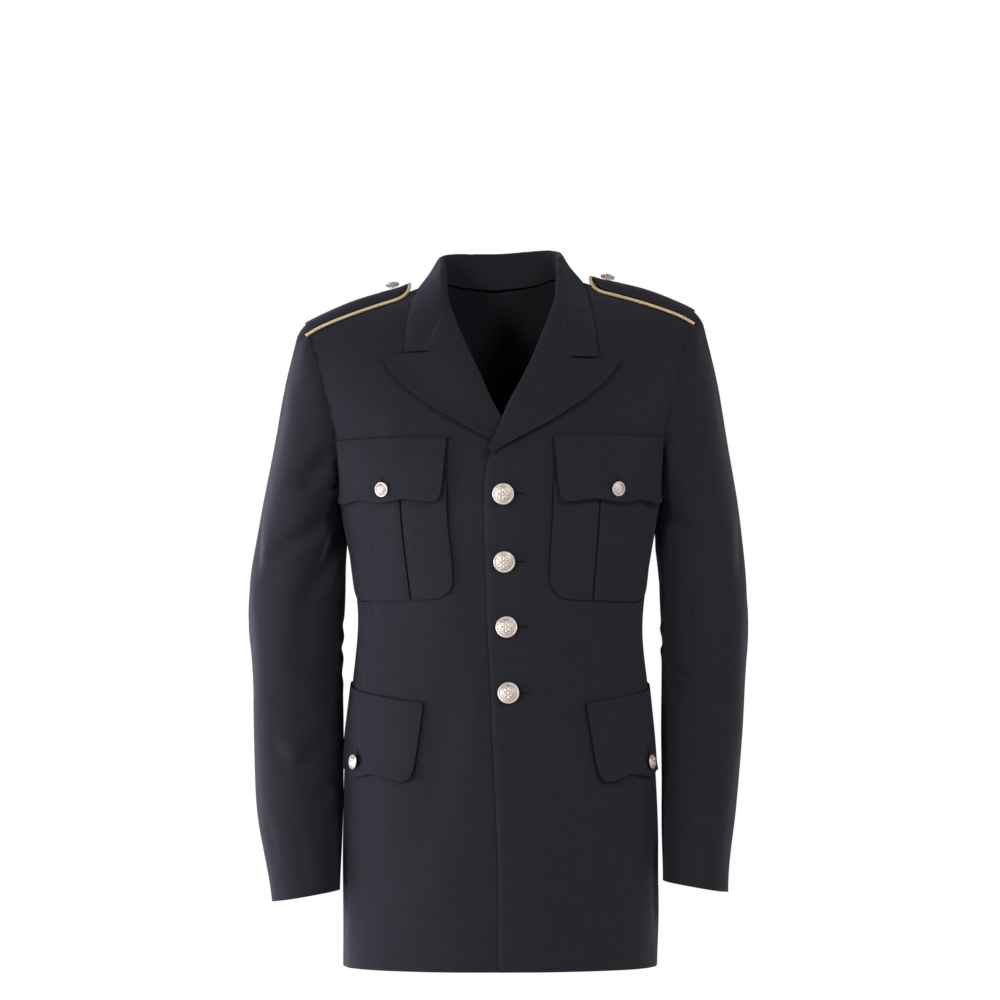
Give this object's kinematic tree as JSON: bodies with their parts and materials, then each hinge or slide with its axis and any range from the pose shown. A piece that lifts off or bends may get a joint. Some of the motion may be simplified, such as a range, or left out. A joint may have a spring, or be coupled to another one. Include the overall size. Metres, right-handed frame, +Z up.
{
  "type": "military dress tunic",
  "caption": "Hip-length military dress tunic worn and hollow, with peaked lapels, buttoned front, flapped pockets, corded shoulder loops and open neck, hem and cuffs.",
  "frame": {"origin": "where the wearer's shoulders hold the coat up: on its middle plane, at the height of the points where its shoulder seams meet the collar, a little in front of those seams", "axes": "+Z up, the front faces -Y, the wearer's left is +X"},
  "size_m": [0.5462, 0.2791, 0.7912],
  "materials": {
    "wool": "matt, fine midnight-blue twill with a faint sheen",
    "braid": "satin gold-coloured cord",
    "brass": "polished, pale gold, with a relief"
  },
  "bodies": {
    "root": {"back_left": "wool", "back_right": "wool", "collar": "wool", "flap_breast_left": "wool", "flap_breast_right": "wool", "flap_lower_left": "wool", "flap_lower_right": "wool", "front_left": "wool", "front_right": "wool", "lapel_left": "wool", "lapel_right": "wool", "loop_left": "wool", "loop_right": "wool", "pocket_left": "wool", "pocket_right": "wool", "side_left": "wool", "side_right": "wool", "sleeve_top_left": "wool", "sleeve_top_right": "wool", "sleeve_under_left": "wool", "sleeve_under_right": "wool", "piping_left": "braid", "piping_right": "braid", "button_breast_left": "brass", "button_breast_right": "brass", "button_front_1": "brass", "button_front_2": "brass", "button_front_3": "brass", "button_front_4": "brass", "button_loop_left": "brass", "button_loop_right": "brass", "button_lower_left": "brass", "button_lower_right": "brass"}
  },
  "joints": []
}
